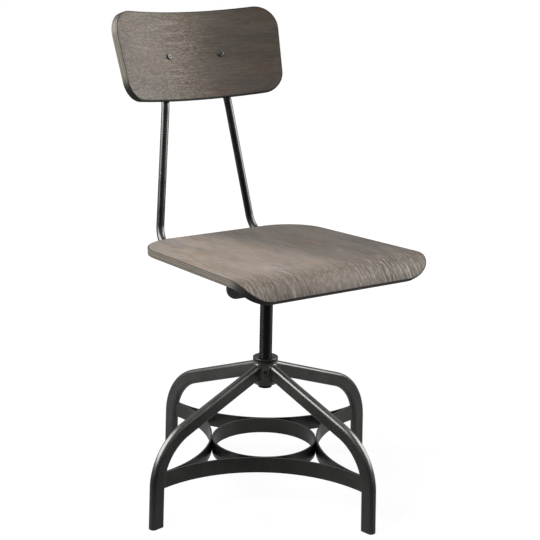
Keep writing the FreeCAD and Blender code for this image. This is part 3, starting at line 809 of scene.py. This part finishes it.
def bead(name, path, radius, seed, closed):
    """A weld bead on the base: a lumpy, rippled roll along a path in millimetres."""
    count = len(path)
    points, faces = [], []
    for i, spot in enumerate(path):
        here = Vector(spot)
        before = Vector(path[i - 1]) if i or closed else here
        after = Vector(path[(i + 1) % count]) if i < count - 1 or closed else here
        along = (after - before).normalized()
        side = along.cross(OFF_AXIS).normalized()
        up = side.cross(along)
        lumps = noise.noise(here * LUMP_SCALE + Vector((seed, 0, 0)))
        size = 1 + LUMP * lumps + RIPPLE * (i % 2)
        if not closed and i in (0, count - 1):
            size *= END_SHARE
        for k in range(BEAD_SIDES):
            angle = 2 * math.pi * k / BEAD_SIDES
            outward = side * math.cos(angle) + up * math.sin(angle)
            points.append((here + outward * radius * size) * MM)
    for i in range(count if closed else count - 1):
        low, high = i * BEAD_SIDES, (i + 1) % count * BEAD_SIDES
        for k in range(BEAD_SIDES):
            m = (k + 1) % BEAD_SIDES
            faces.append((low + k, low + m, high + m, high + k))
    if not closed:
        last = (count - 1) * BEAD_SIDES
        faces.append(tuple(range(BEAD_SIDES)))
        faces.append(tuple(last + k for k in reversed(range(BEAD_SIDES))))
    piece = make(name, points, faces, [weld_steel], "base")
    smooth = piece.modifiers.new("smooth", "SUBSURF")
    smooth.levels = 1
    smooth.render_levels = 1


LEG_DEPTH = 28.7
LEG_WIDTH = 16.3
LEG_CORNER = 6.5
LEG_CORNER_STEPS = 6
LEG_AXIS = 251.7
LEG_SLOPE = math.radians(20.45)
HUB_RADIUS = 23.0
BAR_LOW = 75
BAR_HIGH = 104
STRAP_END = 258.6
STRAP_SEAM = 3.7
LEG_ANGLES = {"rear_right": 45, "rear_left": 135, "front_left": 225, "front_right": 315}
HUB_SEED = 3.7
STRAP_SEED = 5.1


def turned(points, degrees):
    """Points in millimetres turned about the post, with the base's own turn."""
    spin = Matrix.Rotation(math.radians(degrees) + BASE_TURN, 3, "Z")
    return [spin @ Vector(p) for p in points]


leg_corners = [
    (-LEG_DEPTH / 2, -LEG_WIDTH / 2), (LEG_DEPTH / 2, -LEG_WIDTH / 2),
    (LEG_DEPTH / 2, LEG_WIDTH / 2), (-LEG_DEPTH / 2, LEG_WIDTH / 2),
]
leg_outline = resample(rounded(leg_corners, [LEG_CORNER] * 4, LEG_CORNER_STEPS), HUB_BEAD_GAP)
for number, (leg, degrees) in enumerate(LEG_ANGLES.items()):
    ring = []
    for a, b in leg_outline:
        x = math.sqrt(HUB_RADIUS**2 - b**2) + HUB_BEAD_OUT
        ring.append((x, b, LEG_AXIS - math.tan(LEG_SLOPE) * x + a / math.cos(LEG_SLOPE)))
    bead("weld_hub_" + leg, turned(ring, degrees), HUB_BEAD, HUB_SEED * number, True)
    for side, word in ((-1, "right"), (1, "left")):
        seam = [(STRAP_END, side * STRAP_SEAM, z) for z in range(BAR_LOW, BAR_HIGH + 1)]
        bead("weld_strap_%s_%s" % (leg, word), turned(seam, degrees), STRAP_BEAD,
             STRAP_SEED * number + side, False)

# Painted shadow: a dark ring under the cap nut

HUB_TOP = 264.0
SHADOW_RING_RADIUS = 23.25
SHADOW_RING_THICK = 0.9
SHADOW_RING_AROUND, SHADOW_RING_SIDES = 72, 8


def cap_shadow_ring():
    """A thin dark ring in the corner between the hub and the cap nut: a painted shadow under the
    cap's overhang.
    """
    points, faces = [], []
    for i in range(SHADOW_RING_AROUND):
        angle = 2 * math.pi * i / SHADOW_RING_AROUND
        low, high = i * SHADOW_RING_SIDES, (i + 1) % SHADOW_RING_AROUND * SHADOW_RING_SIDES
        for k in range(SHADOW_RING_SIDES):
            turn = 2 * math.pi * k / SHADOW_RING_SIDES
            radius = SHADOW_RING_RADIUS + SHADOW_RING_THICK * math.cos(turn)
            z = HUB_TOP - SHADOW_RING_THICK + SHADOW_RING_THICK * math.sin(turn)
            points.append(Vector((radius * math.cos(angle), radius * math.sin(angle), z)) * MM)
            m = (k + 1) % SHADOW_RING_SIDES
            faces.append((low + k, high + k, high + m, low + m))
    make("cap_shadow_ring", points, faces, [glide_rubber], "base")


cap_shadow_ring()

# Floor. It is white to the camera, and what it shows in gloss is dark in front of the chair

FLOOR_HALF = 6
FLOOR_DULL = (0.12, 0.12, 0.12, 1)
FLOOR_BOUNCE = (0.5, 0.5, 0.5, 1)
HEADING = math.radians(34.118)
beyond_part = (math.sin(HEADING), math.cos(HEADING), 0.0)
beside_part = (math.cos(HEADING), -math.sin(HEADING), 0.0)

floor_corners = [(x * FLOOR_HALF, y * FLOOR_HALF, 0)
                 for x, y in ((-1, -1), (1, -1), (1, 1), (-1, 1))]
floor_mesh = bpy.data.meshes.new("floor")
floor_mesh.from_pydata(floor_corners, [], [(0, 1, 2, 3)])
floor = bpy.data.objects.new("floor", floor_mesh)
bpy.context.scene.collection.objects.link(floor)

pale = bpy.data.materials.new("pale_floor")
n = Nodes(pale)
paths = n.node("ShaderNodeLightPath").outputs
spot = n.node("ShaderNodeNewGeometry").outputs["Position"]
length_of = n.node("ShaderNodeVectorMath", operation="LENGTH")
n.feed(length_of.inputs[0], spot)
away = length_of.outputs["Value"]
seen = n.times(paths["Is Camera Ray"], n.spread(away, 0.4, 1.4, 0.9, 1.0))
beyond = n.spread(n.dot(spot, beyond_part), -0.38, -0.08, 0.1, 1.0)
sheen = n.times(beyond, n.spread(away, 0.0, 0.3, 0.2, 0.46))
glow = n.emission(n.math("ADD", seen, n.times(paths["Is Glossy Ray"], sheen)))
diffuse = n.node("ShaderNodeBsdfDiffuse")
n.feed(diffuse.inputs[0], n.blend(paths["Is Diffuse Ray"], FLOOR_DULL, FLOOR_BOUNCE))
together = n.node("ShaderNodeAddShader")
n.feed(together.inputs[0], diffuse.outputs[0])
n.feed(together.inputs[1], glow)
n.feed(n.node("ShaderNodeOutputMaterial").inputs[0], together.outputs[0])
floor_mesh.materials.append(pale)

# World. It is white to the camera, and in gloss it is bright from above and from the sides

WORLD_DIFFUSE = 0.3
UP = (0.0, 0.0, 1.0)

scene = bpy.context.scene
scene.view_settings.view_transform = "Standard"
world = bpy.data.worlds.new("studio")
scene.world = world
n = Nodes(world)
paths = n.node("ShaderNodeLightPath").outputs
toward = n.node("ShaderNodeTexCoord").outputs["Generated"]
sideways = n.spread(n.math("ABSOLUTE", n.dot(toward, beside_part)), 0.35, 0.85, 0.15, 0.8)
upwards = n.spread(n.dot(toward, UP), 0.15, 0.7, 0.0, 1.0)
studio = n.math("MINIMUM", n.math("ADD", sideways, upwards), 1.0)
mirrored = n.times(paths["Is Glossy Ray"], studio)
white = n.math("MAXIMUM", paths["Is Camera Ray"], paths["Is Transmission Ray"])
plain = n.times(paths["Is Diffuse Ray"], WORLD_DIFFUSE)
backdrop = n.node("ShaderNodeBackground")
n.feed(backdrop.inputs[0], WHITE)
n.feed(backdrop.inputs[1], n.math("ADD", n.math("MAXIMUM", white, mirrored), plain))
n.feed(n.node("ShaderNodeOutputWorld").inputs[0], backdrop.outputs[0])

# Lamps


def lamp(name, place, target, size, power, lights=True, glints=True):
    """A soft area lamp, which may show in gloss alone or not at all."""
    data = bpy.data.lights.new(name, "AREA")
    data.shape = "RECTANGLE"
    data.size, data.size_y = size
    data.energy = power
    lit = bpy.data.objects.new(name, data)
    lit.location = place
    lit.rotation_euler = (Vector(target) - Vector(place)).to_track_quat("-Z", "Y").to_euler()
    lit.visible_camera = False
    lit.visible_diffuse = lights
    lit.visible_glossy = glints
    scene.collection.objects.link(lit)


lamp("key", (2.0, -0.9, 1.35), (0, 0, 0.5), (1.1, 1.2), 28, glints=False)
lamp("rim", (-1.95, 1.25, 1.1), (0, 0, 0.4), (1.2, 1.9), 46, glints=False)
lamp("fill", (-1.5, -0.5, 1.6), (0, 0, 0.5), (0.8, 0.8), 24, glints=False)
lamp("top", (-0.3, -0.2, 2.6), (0, 0, 0.5), (1.2, 1.2), 8, glints=False)
lamp("gloss_right", (2.0, -0.75, 1.5), (0, 0, 0.3), (1.5, 2.2), 138, lights=False)
lamp("gloss_left", (-1.86, 1.07, 1.85), (0, 0, 0.3), (2.3, 2.3), 230, lights=False)

# Camera

PITCH_DOWN = math.radians(15.209)
ROLL = math.radians(1.15)
EYE = (-1.4316, -2.1225, 1.1388)
SENSOR = 36.0
FOCAL_LENGTH = 93.40
FAR_CLIP = 50.0

forward = Vector((
    math.sin(HEADING) * math.cos(PITCH_DOWN),
    math.cos(HEADING) * math.cos(PITCH_DOWN),
    -math.sin(PITCH_DOWN),
))
level = forward.cross(Vector(UP)).normalized()
upright = level.cross(forward)
right_hand = level * math.cos(ROLL) + upright * math.sin(ROLL)
overhead = upright * math.cos(ROLL) - level * math.sin(ROLL)
lens = bpy.data.cameras.new("camera")
lens.sensor_width = SENSOR
lens.lens = FOCAL_LENGTH
lens.clip_end = FAR_CLIP
camera = bpy.data.objects.new("camera", lens)
stand = Matrix((right_hand, overhead, -forward)).transposed().to_4x4()
camera.matrix_world = Matrix.Translation(EYE) @ stand
scene.collection.objects.link(camera)
scene.camera = camera
